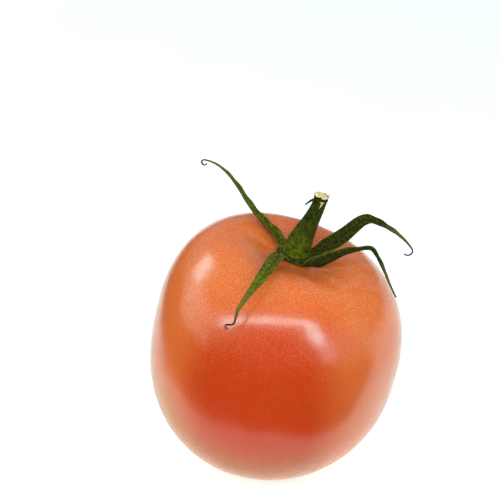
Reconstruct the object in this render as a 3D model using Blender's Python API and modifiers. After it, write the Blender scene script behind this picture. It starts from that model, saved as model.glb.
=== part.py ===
"""A ripe pink tomato as picked: the fruit, its green calyx, the short stem and the stem's torn end.

Metres, +Z up. The origin is the middle of the small flat spot that the fruit rests on.
Lengths below are written in millimetres and angles in degrees; the helpers turn them into metres and radians.
"""
import math
from typing import NamedTuple

import bmesh
import bpy
from mathutils import Matrix, Vector

MM = 0.001
CLEAR_GAP = 0.3              # between pieces that touch on the real thing

# The fruit in its own frame: +Z runs up its axis to the stem, the origin is at its widest level
FRUIT_RADIUS = 40.4
SHOULDER_HEIGHT = 42.3       # widest level up to the shoulders, before the cavity is sunk
BASE_DEPTH = 38.8            # widest level down to the blossom end
SHOULDER_POWER = 2.48        # 2 is round, more is squarer
BASE_POWER = 2.38
OVAL = (0.020, 103)          # share of the radius, and the azimuth of the long side
THREE_LOBES = (0.016, 14)
HIGH_SHOULDER = (0.19, 232)  # share of the height by which one shoulder stands up, and its azimuth
LOW_BASE = (0.08, 202)       # the same for the side of the base that hangs lowest

# Where the fruit's frame stands: it leans towards +X
FRUIT_CENTRE = (-2.6, 0.5, 37.6)
FRUIT_LEAN = 11.0
FLAT_BLEND = 0.6             # how softly the flat spot runs out into the skin

# The stem cavity and the folds that run out of it over the shoulder
SCAR_RADIUS = 4.0
CAVITY_DEPTH = 7.4
CAVITY_WIDTH = 13.0
FOLD_MIDDLE = 14.0           # distance from the axis where a fold is deepest
FOLD_REACH = 9.0
BLOSSOM_SCAR_DEPTH = 0.7
BLOSSOM_SCAR_RADIUS = 2.6

FRUIT_SEGMENTS = 80
FRUIT_RINGS = 38

# The calyx: a thin plate in the cavity, with the sepals' roots sunk in it
PLATE_THICKNESS = 1.2
PLATE_RADIUS = 5.2
PLATE_SIDES = 28
SEPAL_ROOT_RADIUS = 3.4
SEPAL_ROOT_HEIGHT = 0.85     # over the cavity's floor
ROOT_LEVEL = (0.02, 0.07)    # shares of a blade between which it turns up out of the plate
ROOT_FLAT = (0.05, 0.16)     # shares between which it takes on its roll and its fold
SEPAL_THICKNESS = 0.7
SEPAL_CLEARANCE = 0.9        # least distance of a blade's middle layer from the skin
SEPAL_STEPS = 24
SEPAL_STRIPS = 4
FOLD_RISE = 0.35             # how far the edges rise over the midrib, as a share of the half width

# The stem, from its foot to the break, in the fruit's frame over the top of the calyx plate
STEM_POINTS = (
    # x, y, z, radius
    (-0.4, 0.0, 0.0, 3.90),
    (-0.4, 0.0, 1.2, 4.05),
    (-0.2, 0.0, 4.2, 3.80),
    (0.6, 0.0, 8.0, 3.25),
    (1.6, 0.0, 12.0, 2.60),
    (2.4, 0.0, 15.5, 2.25),
    (2.8, 0.0, 18.0, 2.10),
    (3.0, 0.0, 20.0, 2.20),
)
STEM_BEVEL_RESOLUTION = 3

# The torn tissue on top of the stem
TORN_RADIUS = 2.5
TORN_HEIGHT = 1.3
TORN_SEGMENTS = 20
TORN_RINGS = 8


class Fold(NamedTuple):
    """A shallow valley that runs out of the stem cavity over the shoulder."""
    azimuth: float
    depth: float
    half_width: float        # degrees


class Sepal(NamedTuple):
    """A narrow green blade. Its stations are evenly spaced from its root to its tip."""
    azimuth: float           # where its root stands round the stem
    length: float
    pitch: tuple             # degrees up from level
    turn: tuple              # degrees to the left of its azimuth
    width: tuple
    roll: tuple              # degrees that the blade is rolled about its own line
    kink_at: float = 0.5     # share of the length
    kink: float = 0.0        # degrees of pitch
    kink_length: float = 0.012  # share of the length that it is spread over
    curl_at: float = 0.9     # share of the length
    curl_pitch: float = 0.0
    curl_turn: float = 0.0


FOLDS = (
    Fold(azimuth=295, depth=1.2, half_width=18),
    Fold(azimuth=238, depth=0.8, half_width=14),
    Fold(azimuth=165, depth=0.7, half_width=16),
    Fold(azimuth=92, depth=1.0, half_width=14),
    Fold(azimuth=20, depth=0.7, half_width=14),
    Fold(azimuth=320, depth=0.35, half_width=7),
    Fold(azimuth=342, depth=0.35, half_width=7),
)

SEPALS = (
    # back left: rises clear of the skin and ends in a tight curl
    Sepal(azimuth=134, length=48.5, pitch=(15, 15, 22, 5, -25), turn=(-2, 3, -7, -2, 17),
          width=(4.4, 4.0, 2.6, 1.3, 0.8), roll=(0, 15, 20, 10, 0),
          curl_at=0.92, curl_pitch=-250),
    # front left: lies along the shoulder and hooks at its tip
    Sepal(azimuth=205, length=48.5, pitch=(32, 17, -4, -38, -92), turn=(34, 48, 43, 29, 12),
          width=(3.8, 4.3, 3.8, 1.8, 0.8), roll=(0, 0, -5, 0, 0),
          curl_at=0.92, curl_pitch=70, curl_turn=-60),
    # right front: stands on its edge, then breaks and hangs down the side
    Sepal(azimuth=284, length=46.6, pitch=(19, 43, 22, 12, 16), turn=(19, 64, 74, 89, 100),
          width=(4.2, 4.2, 2.2, 1.4, 0.8), roll=(-75, -70, -55, -30, 0),
          kink_at=0.54, kink=-69),
    # right: arches over the shoulder, inner face forward
    Sepal(azimuth=22, length=48.6, pitch=(16, 39, 51, 45, 25), turn=(3, 4, 4, -11, -24),
          width=(4.4, 4.8, 3.2, 2.0, 0.8), roll=(0, 40, 30, 10, 0),
          kink_at=0.45, kink=-77, kink_length=0.026, curl_at=0.91, curl_pitch=-160),
    # back: short, over the rim behind the stem
    Sepal(azimuth=78, length=24.0, pitch=(30, 30, 6, -14, -30), turn=(0, -4, -8, -4, 6),
          width=(4.2, 4.0, 3.0, 1.8, 0.8), roll=(0, 0, 0, 0, 0)),
)


def bump_between(value, middle, reach):
    """1 at the middle, falling smoothly to 0 on both sides."""
    return math.exp(-((value - middle) / reach) ** 2)


def ease(value, start, end):
    """0 up to the start, 1 from the end on, smooth between them."""
    step = min(max((value - start) / (end - start), 0.0), 1.0)
    return step * step * (3 - 2 * step)


def angle_apart(first, second):
    """Smallest angle between two azimuths, in degrees."""
    return abs((first - second + 180) % 360 - 180)


def fruit_distance(polar, azimuth):
    """Distance of the skin from the fruit's centre, before the cavity is sunk. Angles in radians."""
    up = math.cos(polar)
    out = math.sin(polar)
    oval, oval_azimuth = OVAL
    lobes, lobes_azimuth = THREE_LOBES
    radius = FRUIT_RADIUS * (1 + oval * math.cos(2 * (azimuth - math.radians(oval_azimuth)))
                             + lobes * math.cos(3 * (azimuth - math.radians(lobes_azimuth))))
    if up > 0:
        rise, rise_azimuth = HIGH_SHOULDER
        height = SHOULDER_HEIGHT * (1 + rise * math.cos(azimuth - math.radians(rise_azimuth)) * out ** 2)
        power = SHOULDER_POWER
    else:
        drop, drop_azimuth = LOW_BASE
        height = BASE_DEPTH * (1 + drop * math.cos(azimuth - math.radians(drop_azimuth)) * out ** 2)
        power = BASE_POWER
    return ((out / radius) ** power + (abs(up) / height) ** power) ** (-1 / power)


def cavity_sink(radius, azimuth):
    """How far the cavity and its folds lower the skin at a distance from the axis."""
    sink = CAVITY_DEPTH * bump_between(max(radius, SCAR_RADIUS), SCAR_RADIUS, CAVITY_WIDTH)
    for fold in FOLDS:
        across = angle_apart(math.degrees(azimuth), fold.azimuth)
        along = bump_between(radius, FOLD_MIDDLE, FOLD_REACH) * (1 - bump_between(radius, 0, SCAR_RADIUS))
        sink += fold.depth * bump_between(across, 0, fold.half_width) * along
    return sink


def skin_point(polar, azimuth):
    """A point of the skin in the fruit's own frame. Angles in radians, the stem is at polar 0."""
    distance = fruit_distance(polar, azimuth)
    radius = distance * math.sin(polar)
    height = distance * math.cos(polar)
    if height > 0:
        height -= cavity_sink(radius, azimuth)
    else:
        height += BLOSSOM_SCAR_DEPTH * bump_between(radius, 0, BLOSSOM_SCAR_RADIUS)
    return Vector((radius * math.cos(azimuth), radius * math.sin(azimuth), height))


def lift_off_skin(point, clearance):
    """The point itself, or where it comes to when it is moved out to clear the skin."""
    radius = math.hypot(point.x, point.y)
    azimuth = math.atan2(point.y, point.x)
    sink = cavity_sink(radius, azimuth)
    unsunk = point + Vector((0, 0, sink))
    polar = math.atan2(radius, unsunk.z)
    wanted = fruit_distance(polar, azimuth) + clearance
    if unsunk.length >= wanted:
        return point
    unsunk *= wanted / unsunk.length
    return unsunk - Vector((0, 0, sink))


def cavity_floor():
    """Height of the cavity's floor in the fruit's frame."""
    return SHOULDER_HEIGHT - CAVITY_DEPTH


def plate_bottom():
    return cavity_floor() + CLEAR_GAP


def stem_foot():
    return plate_bottom() + PLATE_THICKNESS + CLEAR_GAP


def stem_tip():
    """Middle of the break in the fruit's frame."""
    x, y, z, _ = STEM_POINTS[-1]
    return Vector((x, y, z + stem_foot()))


def station_value(stations, share):
    """A smooth value through evenly spaced stations, at a share of the way from the first to the last."""
    last = len(stations) - 1
    place = min(max(share, 0.0), 1.0) * last
    index = min(int(place), last - 1)
    step = place - index
    before = stations[max(index - 1, 0)]
    here = stations[index]
    ahead = stations[index + 1]
    beyond = stations[min(index + 2, last)]
    linear = ahead - before
    square = 2 * before - 5 * here + 4 * ahead - beyond
    cube = 3 * (here - ahead) + beyond - before
    return here + 0.5 * step * (linear + step * (square + step * cube))


def sepal_frame(sepal, share):
    """Turns +X along the blade, +Y to its left edge and +Z out of its upper face."""
    curl = min(max((share - sepal.curl_at) / (1 - sepal.curl_at), 0.0), 1.0)
    kinked = 1 / (1 + math.exp(-(share - sepal.kink_at) / sepal.kink_length))
    pitch = station_value(sepal.pitch, share) * ease(share, *ROOT_LEVEL)
    pitch += sepal.kink * kinked + sepal.curl_pitch * curl
    heading = sepal.azimuth + station_value(sepal.turn, share) + sepal.curl_turn * curl
    roll = station_value(sepal.roll, share) * ease(share, *ROOT_FLAT)
    return (Matrix.Rotation(math.radians(heading), 3, "Z")
            @ Matrix.Rotation(math.radians(-pitch), 3, "Y")
            @ Matrix.Rotation(math.radians(roll), 3, "X"))


def sepal_line(sepal, steps):
    """Points and frames along the blade's midrib, in the fruit's frame."""
    azimuth = math.radians(sepal.azimuth)
    point = Vector((SEPAL_ROOT_RADIUS * math.cos(azimuth), SEPAL_ROOT_RADIUS * math.sin(azimuth),
                    cavity_floor() + SEPAL_ROOT_HEIGHT))
    stride = sepal.length / steps
    substeps = 6
    line = [(point.copy(), sepal_frame(sepal, 0.0))]
    for step in range(steps):
        for substep in range(substeps):
            share = (step + (substep + 0.5) / substeps) / steps
            point += sepal_frame(sepal, share) @ Vector((stride / substeps, 0, 0))
        line.append((point.copy(), sepal_frame(sepal, (step + 1) / steps)))
    return line


def material(name, colour, roughness):
    """A plain Principled material."""
    made = bpy.data.materials.new(name)
    made.use_nodes = True
    shader = made.node_tree.nodes["Principled BSDF"]
    shader.inputs["Base Color"].default_value = (*colour, 1.0)
    shader.inputs["Roughness"].default_value = roughness
    shader.inputs["Metallic"].default_value = 0.0
    return made


def new_object(name, mesh, collection, parent=None):
    made = bpy.data.objects.new(name, mesh)
    collection.objects.link(made)
    made.parent = parent
    return made


def mesh_from(bm, name):
    """A mesh in metres from one drawn in millimetres."""
    bmesh.ops.scale(bm, vec=(MM, MM, MM), verts=bm.verts)
    mesh = bpy.data.meshes.new(name)
    bm.to_mesh(mesh)
    bm.free()
    mesh.shade_smooth()
    return mesh


def fruit_matrix():
    """The fruit's frame in the world, in millimetres."""
    return Matrix.Translation(FRUIT_CENTRE) @ Matrix.Rotation(math.radians(FRUIT_LEAN), 4, "Y")


def rest_on_flat(height):
    """World height of the skin after the flat spot is pressed in at 0."""
    if height <= -FLAT_BLEND:
        return 0.0
    if height < FLAT_BLEND:
        return (height + FLAT_BLEND) ** 2 / (4 * FLAT_BLEND)
    return height


def make_fruit(collection, axis):
    """The whole fruit as one solid: a sphere whose points are moved out to the skin."""
    bm = bmesh.new()
    bmesh.ops.create_uvsphere(bm, u_segments=FRUIT_SEGMENTS, v_segments=FRUIT_RINGS, radius=1.0)
    to_world = fruit_matrix()
    to_fruit = to_world.inverted()
    for vert in bm.verts:
        polar = math.acos(max(-1.0, min(1.0, vert.co.z)))
        azimuth = math.atan2(vert.co.y, vert.co.x)
        placed = to_world @ skin_point(polar, azimuth)
        placed.z = rest_on_flat(placed.z)
        vert.co = to_fruit @ placed
    bmesh.ops.triangulate(bm, faces=bm.faces)
    fruit = new_object("fruit", mesh_from(bm, "fruit"), collection, axis)
    fruit.data.materials.append(material("tomato_skin", (0.70, 0.115, 0.045), 0.30))
    return fruit


def make_plate(collection, axis):
    """The calyx plate: a turned disc with a rounded rim."""
    bottom = plate_bottom()
    profile = (
        (0.0, bottom + PLATE_THICKNESS),
        (PLATE_RADIUS - 1.0, bottom + PLATE_THICKNESS),
        (PLATE_RADIUS - 0.2, bottom + PLATE_THICKNESS * 0.85),
        (PLATE_RADIUS, bottom + PLATE_THICKNESS * 0.45),
        (PLATE_RADIUS - 0.4, bottom),
        (0.0, bottom),
    )
    bm = bmesh.new()
    verts = [bm.verts.new((x, 0.0, z)) for x, z in profile]
    for first, second in zip(verts, verts[1:]):
        bm.edges.new((first, second))
    plate = new_object("calyx", mesh_from(bm, "calyx"), collection, axis)
    screw = plate.modifiers.new("turn", "SCREW")
    screw.steps = PLATE_SIDES
    screw.render_steps = PLATE_SIDES
    screw.use_merge_vertices = True
    screw.merge_threshold = 0.00001
    return plate


def make_blade(sepal, name, collection, axis):
    """One sepal: a strip bent along its line and folded along its midrib, then thickened."""
    bm = bmesh.new()
    bmesh.ops.create_grid(bm, x_segments=SEPAL_STEPS, y_segments=SEPAL_STRIPS, size=1.0)
    line = sepal_line(sepal, SEPAL_STEPS)
    for vert in bm.verts:
        step = round((vert.co.x + 1) / 2 * SEPAL_STEPS)
        across = vert.co.y
        share = step / SEPAL_STEPS
        middle, frame = line[step]
        half_width = station_value(sepal.width, share) / 2
        rise = FOLD_RISE * ease(share, *ROOT_FLAT) * half_width * abs(across) ** 1.5
        point = middle + frame @ Vector((0, across * half_width, rise))
        if share > ROOT_LEVEL[0]:
            point = lift_off_skin(point, SEPAL_CLEARANCE)
        vert.co = point
    bmesh.ops.triangulate(bm, faces=bm.faces)
    blade = new_object(name, mesh_from(bm, name), collection, axis)
    solidify = blade.modifiers.new("thickness", "SOLIDIFY")
    solidify.thickness = SEPAL_THICKNESS * MM
    solidify.offset = 0.0
    return blade


def apply_modifiers(thing):
    """Replaces the object's mesh with what its modifiers make of it."""
    bpy.context.view_layer.update()
    evaluated = thing.evaluated_get(bpy.context.evaluated_depsgraph_get())
    mesh = bpy.data.meshes.new_from_object(evaluated)
    thing.modifiers.clear()
    thing.data = mesh


def make_calyx(collection, helpers, axis):
    """The plate and its sepals, joined into one body."""
    calyx = make_plate(collection, axis)
    for number, sepal in enumerate(SEPALS):
        make_blade(sepal, f"sepal_{number}", helpers, axis)
    union = calyx.modifiers.new("join", "BOOLEAN")
    union.operation = "UNION"
    union.operand_type = "COLLECTION"
    union.collection = helpers
    union.solver = "EXACT"
    apply_modifiers(calyx)
    for blade in list(helpers.objects):
        bpy.data.objects.remove(blade)
    calyx.data.materials.clear()
    calyx.data.materials.append(material("sepal_green", (0.085, 0.13, 0.022), 0.55))
    return calyx


def make_stem(collection, axis):
    """The stalk: a tube that narrows from its foot and widens a little at the break."""
    curve = bpy.data.curves.new("stem", "CURVE")
    curve.dimensions = "3D"
    curve.bevel_depth = MM
    curve.bevel_resolution = STEM_BEVEL_RESOLUTION
    curve.use_fill_caps = True
    spline = curve.splines.new("POLY")
    spline.points.add(len(STEM_POINTS) - 1)
    for place, (x, y, z, radius) in zip(spline.points, STEM_POINTS):
        place.co = (x * MM, y * MM, (z + stem_foot()) * MM, 1.0)
        place.radius = radius
    stem = new_object("stem", curve, collection, axis)
    curve.materials.append(material("stem_green", (0.095, 0.14, 0.03), 0.6))
    return stem


def make_torn_end(collection, axis):
    """The pale tissue at the break: a low button with a ragged rim and top."""
    bm = bmesh.new()
    bmesh.ops.create_uvsphere(bm, u_segments=TORN_SEGMENTS, v_segments=TORN_RINGS, radius=1.0)
    base = stem_tip() + Vector((0, 0, CLEAR_GAP))
    for vert in bm.verts:
        azimuth = math.atan2(vert.co.y, vert.co.x)
        out = math.hypot(vert.co.x, vert.co.y)
        ragged = 1 + 0.07 * math.sin(3 * azimuth + 0.6) + 0.05 * math.sin(7 * azimuth)
        bumps = 0.18 * math.sin(5 * azimuth + 1.0) * out + 0.12 * math.cos(9 * azimuth) * out ** 2
        height = TORN_HEIGHT * 0.5 * (1 + vert.co.z)
        if vert.co.z > 0:
            height += TORN_HEIGHT * bumps * vert.co.z ** 0.5
        square = out ** 0.6
        vert.co = base + Vector((TORN_RADIUS * square * ragged * math.cos(azimuth),
                                 TORN_RADIUS * square * ragged * math.sin(azimuth), height))
    bmesh.ops.triangulate(bm, faces=bm.faces)
    torn = new_object("stem_end", mesh_from(bm, "stem_end"), collection, axis)
    torn.data.materials.append(material("torn_tissue", (0.80, 0.70, 0.47), 0.8))
    return torn


def clear_scene():
    for thing in list(bpy.data.objects):
        bpy.data.objects.remove(thing)


def main():
    clear_scene()
    tomato = bpy.data.collections.new("pink_tomato")
    helpers = bpy.data.collections.new("helpers")
    for collection in (tomato, helpers):
        bpy.context.scene.collection.children.link(collection)

    axis = bpy.data.objects.new("fruit_axis", None)
    tomato.objects.link(axis)
    axis.location = Vector(FRUIT_CENTRE) * MM
    axis.rotation_euler = (0, math.radians(FRUIT_LEAN), 0)

    make_fruit(tomato, axis)
    make_calyx(tomato, helpers, axis)
    make_stem(tomato, axis)
    make_torn_end(tomato, axis)


main()
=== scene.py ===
"""Looks for the pink tomato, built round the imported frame: fine skin, sepals, stem, torn end and hairs.

Lengths below are written in millimetres and angles in degrees, in the fruit's own frame, unless they say
otherwise. The fruit, the sepals and the stem follow the lines of the solids, with softer folds, thinner tips
and a more ragged break.
"""

import math
import random
from typing import NamedTuple

import bpy
from mathutils import Matrix, Vector, noise


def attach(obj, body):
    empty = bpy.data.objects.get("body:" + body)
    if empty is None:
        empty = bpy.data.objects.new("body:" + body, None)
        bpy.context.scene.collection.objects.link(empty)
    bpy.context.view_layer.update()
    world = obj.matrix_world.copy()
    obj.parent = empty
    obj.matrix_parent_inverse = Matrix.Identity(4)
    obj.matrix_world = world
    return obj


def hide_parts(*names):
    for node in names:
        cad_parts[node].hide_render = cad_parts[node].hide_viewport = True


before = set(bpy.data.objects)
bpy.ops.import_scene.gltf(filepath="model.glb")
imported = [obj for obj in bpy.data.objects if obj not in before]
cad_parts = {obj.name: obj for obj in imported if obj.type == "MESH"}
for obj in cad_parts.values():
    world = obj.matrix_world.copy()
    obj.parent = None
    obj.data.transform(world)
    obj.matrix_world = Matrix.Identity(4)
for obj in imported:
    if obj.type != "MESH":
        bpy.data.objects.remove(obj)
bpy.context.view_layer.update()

MM = 0.001

# The fruit in its own frame: +Z runs up its axis to the stem, the origin is at its widest level
FRUIT_RADIUS = 40.4
SHOULDER_HEIGHT = 42.3
BASE_DEPTH = 38.8
SHOULDER_POWER = 2.48
BASE_POWER = 2.38
OVAL = (0.020, 103)          # share of the radius, and the azimuth of a crest
THREE_LOBES = (0.016, 14)
HIGH_SHOULDER = (0.19, 232)  # share of the height, and the azimuth where it is highest
LOW_BASE = (0.08, 202)
FRUIT_CENTRE = (-2.6, 0.5, 37.6)
FRUIT_LEAN = 11.0
FLAT_BLEND = 0.6

# The stem cavity, the folds that run out of it and the scar at the blossom end
SCAR_RADIUS = 4.0
CAVITY_DEPTH = 7.4
CAVITY_WIDTH = 13.0
FOLD_MIDDLE = 14.0
FOLD_REACH = 9.0
BLOSSOM_SCAR_DEPTH = 0.7
BLOSSOM_SCAR_RADIUS = 2.6

# Fine shape of the skin
SKIN_SEGMENTS = 360
SKIN_RINGS = 200
SKIN_LUMP = 0.10
SKIN_LUMP_SIZE = 9.0

# The ripest, reddest side, as a direction from the middle of the fruit. World, metres
RIPE_MIDDLE = (-0.0026, 0.0005, 0.038)
RIPE_SIDE = (-0.035, -0.99, 0.139)
RED_TO_ORANGE = (0.92, 0.58)     # how squarely the skin faces that side, from full red to full orange
BELLY_TO_SIDE = (0.84, 0.50)     # the same, from the belly's base colour to the sides'

# Where the skin's colours, gloss and relief change, each from its first to its last value. World, metres
SHOULDER_LEVEL = (0.068, 0.080)
SHOULDER_PLACE = (0.024, 0.002)
BASE_LEVEL = (0.034, 0.014)
BASE_RISE_AT_SIDES = 0.014
FLANK_PLACE = (0.006, 0.022)
FLANK_END = (0.036, 0.028)
FLANK_LEVEL = (0.066, 0.054)
PATCH_PLACE = (0.002, 0.026)
SPECK_LEVEL = (0.044, 0.072)
MOTTLE_LEVEL = (0.040, 0.070)
ROUGHER_LEVEL = (0.040, 0.018)
RELIEF_LEVEL = (0.028, 0.046)
SPECK_SIZE = 0.42

# The calyx
CLEAR_GAP = 0.3
PLATE_THICKNESS = 1.2
PLATE_RADIUS = 5.2
SEPAL_ROOT_RADIUS = 3.4
SEPAL_ROOT_HEIGHT = 0.85
ROOT_LEVEL = (0.02, 0.07)    # shares of the length over which a sepal leaves the plate's level
ROOT_FLAT = (0.05, 0.16)     # and over which it starts to roll and to fold up
SEPAL_CLEARANCE = 0.8

# Fine shape of the calyx plate
PLATE_SIDES = 120
PLATE_RINGS = 26
PLATE_LEVEL_RADIUS = 4.0     # where its top starts to fall off
PLATE_EDGE_THICKNESS = 0.35
PLATE_UNDERCUT = 0.4
PLATE_LUMP = 0.10
PLATE_LUMP_SIZE = 1.3
ROOT_REACH = 0.9             # how far it runs out under each sepal
ROOT_SPREAD = 24
WEB_AZIMUTH = 169            # where it spreads between the two left sepals
WEB_REACH = 1.3
WEB_SPREAD = 32

# Fine shape of a sepal
SEPAL_STEPS = 150
SEPAL_ACROSS = (-1.0, -0.94, -0.82, -0.66, -0.48, -0.32, -0.20, -0.11, -0.05,
                0.0, 0.05, 0.11, 0.20, 0.32, 0.48, 0.66, 0.82, 0.94, 1.0)
SEPAL_THICKNESS = (0.70, 0.56, 0.50, 0.44, 0.34)
TIP_THINNING = 0.35          # share of the width lost at the very tip
TIP_START = 0.7              # share of the length
WIDTH_CHANGE = 0.04          # share of the width that comes and goes along the blade
WIDTH_CHANGE_COUNT = 14
FOLD_RISE = 0.35             # how far the edges stand over the middle, as a share of the half width
FOLD_POWER = 1.5
ROLLED_EDGE = 0.22           # how far the edges roll in, as a share of the half width
ROLL_START = 0.6
EDGE_WAVE = 0.16
EDGE_WAVE_LENGTH = 6.5
EDGE_WAVE_END = (0.6, 0.85)
EDGE_WAVE_SHIFT = 1.7        # radians, of the left edge against the right one
LENS_POWER = 2.5
MIDRIB_RIDGE = 0.22
MIDRIB_RIDGE_WIDTH = 0.14
MIDRIB_GROOVE = 0.13
MIDRIB_GROOVE_WIDTH = 0.10
MIDRIB_FULL_AT = 2.0         # half width of the blade from which the midrib is at its full depth

# The stem, from its foot to the break, over the top of the calyx plate
STEM_POINTS = (
    # x, y, z, radius
    (-0.4, 0.0, 0.0, 3.90),
    (-0.4, 0.0, 1.2, 4.05),
    (-0.2, 0.0, 4.2, 3.80),
    (0.6, 0.0, 8.0, 3.25),
    (1.6, 0.0, 12.0, 2.60),
    (2.4, 0.0, 15.5, 2.25),
    (2.8, 0.0, 18.0, 2.10),
    (3.0, 0.0, 20.0, 2.20),
)
STEM_SIDES = 72
STEM_STEPS = 110
WIDE_RIDGE = 0.030           # share of the radius
FINE_RIDGE = 0.014
STEM_FLARE = 0.35
STEM_FLARE_END = 0.10
STEM_LUMP = 0.07
STEM_YELLOW_AND_LIT_SIDE = (0.0125, 0.0070)    # from its right side to its left, metres in the world; partly the stem's own yellowing, partly painted light on its lit left side

# The break: the ragged rim of the stem's skin and the pale tissue inside it
RIM_START = 0.90
RIM_FRONT_AZIMUTH = 255
RIM_FRONT_RISE = 1.0
RIM_NOTCH_AZIMUTH = 292
RIM_NOTCH = 0.6
RIM_INNER = 0.78             # share of the radius where the rim turns down
RIM_SUNK = 0.3
TORN_SIDES = 96
TORN_RINGS = 26
TORN_RADIUS = 2.4
TORN_HEIGHT = 1.3
TORN_SUNK = 0.35
TORN_SHOULDER = 0.35         # share of its rings that stand up round its top
TORN_FIBRES = 0.34           # share of its height
TORN_LEFT_AZIMUTH = 225      # the side that the stem's skin clings to

# The strip of tissue that runs down from the break, and the sliver of skin that hangs off it
TONGUE_AZIMUTH = 278
TONGUE_STEPS = 30
TONGUE_LENGTH = 0.17         # share of the stem's length
TONGUE_WIDTH = (1.5, 0.95, 0.6, 0.35, 0.06)
TONGUE_SECTION = (-1.0, -0.5, 0.0, 0.5, 1.0, 0.5, 0.0, -0.5)
TONGUE_OUTER = 5             # how many of these lie on its outer face
TONGUE_SWAY = 0.12
FLAP_ROOT = 0.985            # share of the stem's length
FLAP_ROOT_AZIMUTH = 205
FLAP_AZIMUTH = 200
FLAP_STEPS = 12
FLAP_SIDES = 8
FLAP_LENGTH = 2.9
FLAP_DROP = 2.4
FLAP_HALF_WIDTH = 0.55
FLAP_HALF_THICKNESS = 0.20

# The hairs
CALYX_HAIRS = 2600
STEM_HAIRS = 1000
HAIR_LENGTH = (0.22, 0.5)
HAIR_RADIUS = (0.025, 0.045)
HAIR_TILT = 0.3
HAIR_ROOT = 0.03

# The studio, with radiances where 1 shows as white. Places are in metres in the world
SKY_RADIANCE = 0.45
BELOW_RADIANCE = 0.05        # what the object mirrors past the floor's edge
BACKDROP_RADIANCE = 1.2      # what the camera sees past the floor's edge
HORIZON_DARK = -0.10         # height of a direction of length 1, up to which it is dark
HORIZON_LIT = 0.05           # and from which the full sky shows
WHITE = (1.0, 1.0, 1.0, 1.0)
FLOOR_LEVEL = -0.0001
FLOOR_GLOW = 0.57
FLOOR_EDGE = (
    # x, y
    (-0.112, 0.6),
    (-0.112, -0.015),
    (-0.088, -0.045),
    (-0.048, -0.082),
    (0.0, -0.082),
    (0.055, -0.036),
    (0.13, -0.02),
    (0.6, -0.02),
    (0.6, 0.6),
)
PAINTED_LIGHT_POOL = 0.2              # a painted pool of light on the floor, right of the fruit
PAINTED_LIGHT_POOL_CENTRE = (0.058, -0.002)
PAINTED_LIGHT_POOL_REACH = 0.072
FLOOR_TINT = (0.74, 0.97, 0.95)
LAMP_AIM = (0.0, 0.0, 0.04)
LAMP_DISTANCE = 0.6

# The camera looks along +Y and down
CAMERA_PLACE = (-0.0103, -0.4070, 0.3289)
CAMERA_DOWN = 32             # degrees
CAMERA_LENS = 112.05
CAMERA_SENSOR = 36.0


class Fold(NamedTuple):
    """A shallow valley that runs out of the stem cavity over the shoulder."""
    azimuth: float
    depth: float
    half_width: float


class Lamp(NamedTuple):
    """A soft rectangular lamp that faces the fruit."""
    name: str
    azimuth: float
    elevation: float
    width: float             # metres
    height: float            # metres
    radiance: float
    turn: float = 0.0        # degrees about its own direction
    red: float = 0.78        # share of red in its light


class Sepal(NamedTuple):
    """A narrow green blade. Its stations are evenly spaced from its root to its tip."""
    name: str
    tone: float              # how light its green is
    azimuth: float
    length: float
    pitch: tuple             # upwards
    turn: tuple              # to the left of its azimuth
    width: tuple
    roll: tuple              # left edge up
    kink_at: float = 0.5     # share of the length
    kink: float = 0.0        # pitch added past the kink
    kink_length: float = 0.012
    curl_at: float = 0.9     # share of the length where the tip starts to curl
    curl_pitch: float = 0.0
    curl_turn: float = 0.0
    hook: tuple = (0, 0)     # pitch added at even stations through the curl


FOLDS = (
    Fold(azimuth=295, depth=0.7, half_width=18),
    Fold(azimuth=238, depth=0.6, half_width=14),
    Fold(azimuth=165, depth=0.4, half_width=16),
    Fold(azimuth=92, depth=0.8, half_width=14),
    Fold(azimuth=20, depth=0.5, half_width=14),
    Fold(azimuth=320, depth=0.12, half_width=7),
    Fold(azimuth=342, depth=0.12, half_width=7),
)

SEPALS = (
    Sepal("sepal_back_left", tone=0.85, azimuth=134, length=48.5,
          pitch=(15, 15, 22, 5, -25), turn=(-2, 3, -7, -2, 17),
          width=(4.4, 4.0, 2.6, 1.3, 0.8), roll=(0, 15, 20, 10, 0),
          curl_at=0.92, curl_pitch=-250),
    Sepal("sepal_front_left", tone=1.0, azimuth=205, length=48.5,
          pitch=(32, 17, -4, -38, -92), turn=(34, 48, 43, 29, 12),
          width=(3.8, 4.3, 3.8, 1.8, 0.8), roll=(0, 0, -5, 0, 0),
          curl_at=0.80, curl_turn=-45,
          hook=(0, -22, -30, -25, -20, -12, 28, 77, 76, -21, -93)),
    Sepal("sepal_right_front", tone=0.36, azimuth=284, length=46.6,
          pitch=(19, 43, 22, 12, 16), turn=(19, 64, 74, 89, 100),
          width=(4.2, 4.2, 2.2, 1.4, 0.8), roll=(-75, -70, -55, -30, 0),
          kink_at=0.54, kink=-69),
    Sepal("sepal_right", tone=0.30, azimuth=22, length=48.2,
          pitch=(16, 39, 51, 45, 25), turn=(3, 4, 4, -11, -24),
          width=(4.4, 4.8, 3.2, 2.0, 0.8), roll=(0, 40, 30, 10, 0),
          kink_at=0.445, kink=-77, kink_length=0.026, curl_at=0.91, curl_pitch=-160),
    Sepal("sepal_back", tone=0.8, azimuth=78, length=24.0,
          pitch=(30, 30, 6, -14, -30), turn=(0, -4, -8, -4, 6),
          width=(4.2, 4.0, 3.0, 1.8, 0.8), roll=(0, 0, 0, 0, 0)),
)

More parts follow.
